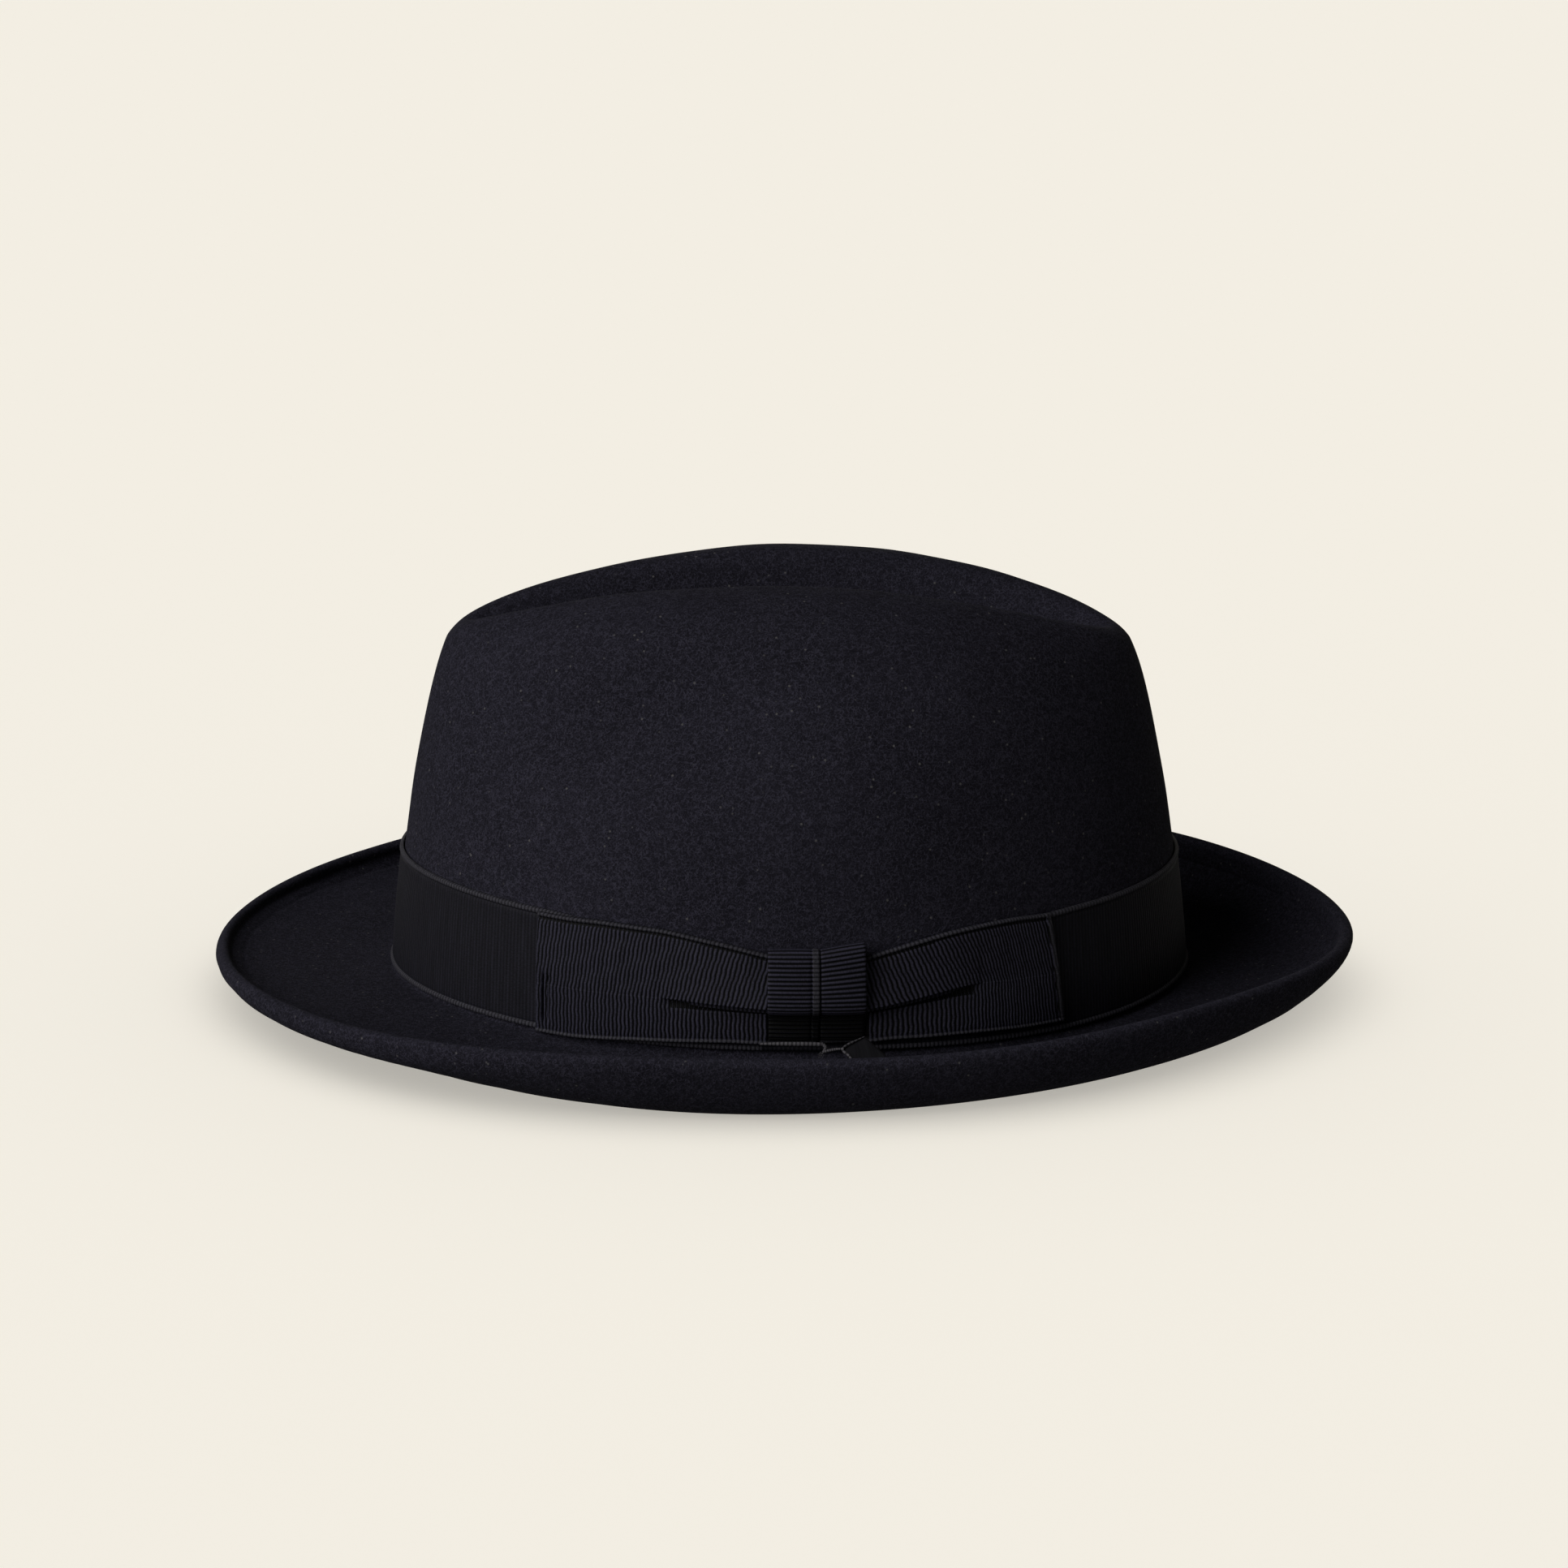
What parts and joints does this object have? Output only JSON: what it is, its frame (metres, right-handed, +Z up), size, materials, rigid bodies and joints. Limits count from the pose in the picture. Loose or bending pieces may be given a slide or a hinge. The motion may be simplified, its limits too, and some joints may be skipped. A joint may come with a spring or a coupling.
{
  "type": "felt fedora hat",
  "caption": "Black felt fedora: teardrop crown with a dent and front pinch, curled brim, grosgrain band with a flat bow on the left side.",
  "frame": {"origin": "on the surface that the hat rests on, under the middle of the brim", "axes": "+X from the front of the hat to its back, -Y to the wearer's left side where the bow is, +Z up"},
  "size_m": [0.2994, 0.2438, 0.1129],
  "materials": {
    "felt": "short brushed nap of black fur felt",
    "ribbon": "black ribbed grosgrain with a soft sheen"
  },
  "bodies": {
    "root": {"felt_body": "felt", "hat_band": "ribbon", "bow_wing_front": "ribbon", "bow_wing_back": "ribbon", "bow_knot_front": "ribbon", "bow_knot_back": "ribbon", "bow_tail": "ribbon"}
  },
  "joints": []
}
